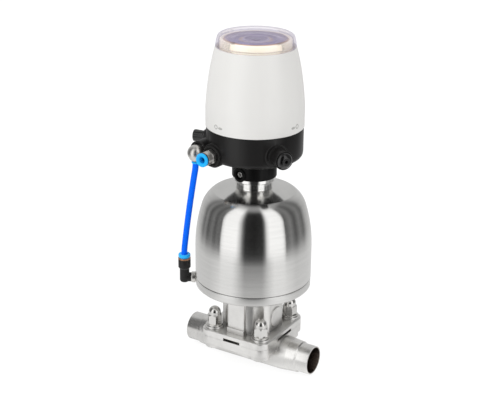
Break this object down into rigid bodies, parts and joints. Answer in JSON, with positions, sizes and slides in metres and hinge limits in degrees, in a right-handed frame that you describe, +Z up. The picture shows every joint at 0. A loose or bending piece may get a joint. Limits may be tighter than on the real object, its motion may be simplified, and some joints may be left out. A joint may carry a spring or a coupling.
{
  "type": "pneumatic diaphragm valve",
  "caption": "Pneumatic weir diaphragm valve with butt-weld pipe ends, spring-closed stainless piston actuator, control head with clear lens and external air tube.",
  "frame": {"origin": "crossing of the pipe axis and the actuator axis, inside the valve body", "axes": "X along the pipe, +Z up the actuator towards the control head, Y across the pipe"},
  "size_m": [0.142, 0.1202, 0.3407],
  "materials": {
    "stainless_cast": "bead blasted satin stainless",
    "stainless_brushed": "fine circumferential brushing over polish",
    "stainless_bright": "bright turned stainless",
    "spring_steel": "drawn spring wire",
    "aluminium_turned": "fine turned",
    "bearing_bronze": "satin bronze",
    "rubber_black": "matt",
    "diaphragm_white": "smooth fluoropolymer",
    "black_plastic": "fine texture, slight sheen",
    "black_gloss": "gloss",
    "white_plastic": "satin",
    "clear_lens": "clear polycarbonate, faint violet tint",
    "cream_plastic": "translucent light guide",
    "violet_plastic": "stepped reflector",
    "board_green": "coated circuit board",
    "red_plastic": "moulded",
    "magnet_grey": "satin",
    "nickel": "nickel plated brass",
    "pale_blue": "moulded",
    "tube_blue": "extruded polyurethane"
  },
  "bodies": {
    "valve": {"valve_body": "stainless_cast", "diaphragm": "diaphragm_white", "bonnet": "stainless_cast", "flange_studs": "stainless_bright", "flange_washers": "stainless_bright", "cap_nuts": "stainless_bright", "lower_bush": "bearing_bronze", "stem_seal": "rubber_black", "actuator_base": "stainless_cast", "base_screws": "stainless_bright", "housing_o_ring": "rubber_black", "dome_housing": "stainless_brushed", "neck_adapter": "stainless_brushed", "upper_bush": "bearing_bronze", "rod_seal": "rubber_black", "spring_plate": "spring_steel", "spring_outer": "spring_steel", "spring_inner": "spring_steel", "head_collar": "black_plastic", "set_screws": "stainless_bright", "head_base": "black_plastic", "cover_seal": "rubber_black", "board_pillars": "stainless_bright", "circuit_board": "board_green", "position_sensor": "black_plastic", "light_ring": "cream_plastic", "indicator_disc": "violet_plastic", "pilot_valve": "black_plastic", "pilot_coil": "black_plastic", "port_a_fitting": "nickel", "port_a_ring": "bearing_bronze", "port_b_thread": "nickel", "port_b_elbow": "nickel", "port_b_ring": "bearing_bronze", "silencer": "black_plastic", "gland_body": "black_plastic", "gland_seal": "rubber_black", "gland_nut": "black_gloss", "elbow_thread": "nickel", "elbow_body": "black_plastic", "elbow_ring": "bearing_bronze", "air_tube": "tube_blue"},
    "stem_group": {"stem": "stainless_bright", "compressor": "aluminium_turned", "compressor_pin": "stainless_bright", "piston": "aluminium_turned", "piston_seal": "rubber_black", "piston_guide_ring": "diaphragm_white", "piston_nut": "stainless_bright", "sensor_target": "magnet_grey"},
    "cover_group": {"cover": "white_plastic", "lens": "clear_lens"},
    "supply_sleeve": {"port_a_sleeve": "pale_blue"},
    "outlet_sleeve": {"port_b_sleeve": "pale_blue"},
    "actuator_sleeve": {"elbow_sleeve": "pale_blue"},
    "pilot_armature": {"pilot_plunger": "stainless_bright"},
    "hand_lever": {"override_lever": "red_plastic"}
  },
  "joints": [
    {"name": "stem_lift", "type": "slide", "parent": "valve", "child": "stem_group", "axis": [0, 0, 1], "range_m": [0, 0.01], "stiffness_N_per_m": 5000, "deforming": ["diaphragm", "spring_outer", "spring_inner"]},
    {"name": "cover_turn", "type": "hinge", "parent": "valve", "child": "cover_group", "pos_m": [0, 0, 0.24], "axis": [0, 0, 1], "range_deg": [0, 25]},
    {"name": "supply_release", "type": "slide", "parent": "valve", "child": "supply_sleeve", "axis": [0.0872, 0.9962, 0], "range_m": [0, 0.001]},
    {"name": "outlet_release", "type": "slide", "parent": "valve", "child": "outlet_sleeve", "axis": [0, 0, 1], "range_m": [0, 0.0008]},
    {"name": "actuator_release", "type": "slide", "parent": "valve", "child": "actuator_sleeve", "axis": [0, 0, -1], "range_m": [0, 0.001]},
    {"name": "pilot_lift", "type": "slide", "parent": "valve", "child": "pilot_armature", "axis": [0, 0, 1], "range_m": [0, 0.0012]},
    {"name": "hand_override", "type": "hinge", "parent": "valve", "child": "hand_lever", "pos_m": [-0.0142, -0.009, 0.213], "axis": [-1, 0, 0], "range_deg": [0, 90]}
  ]
}
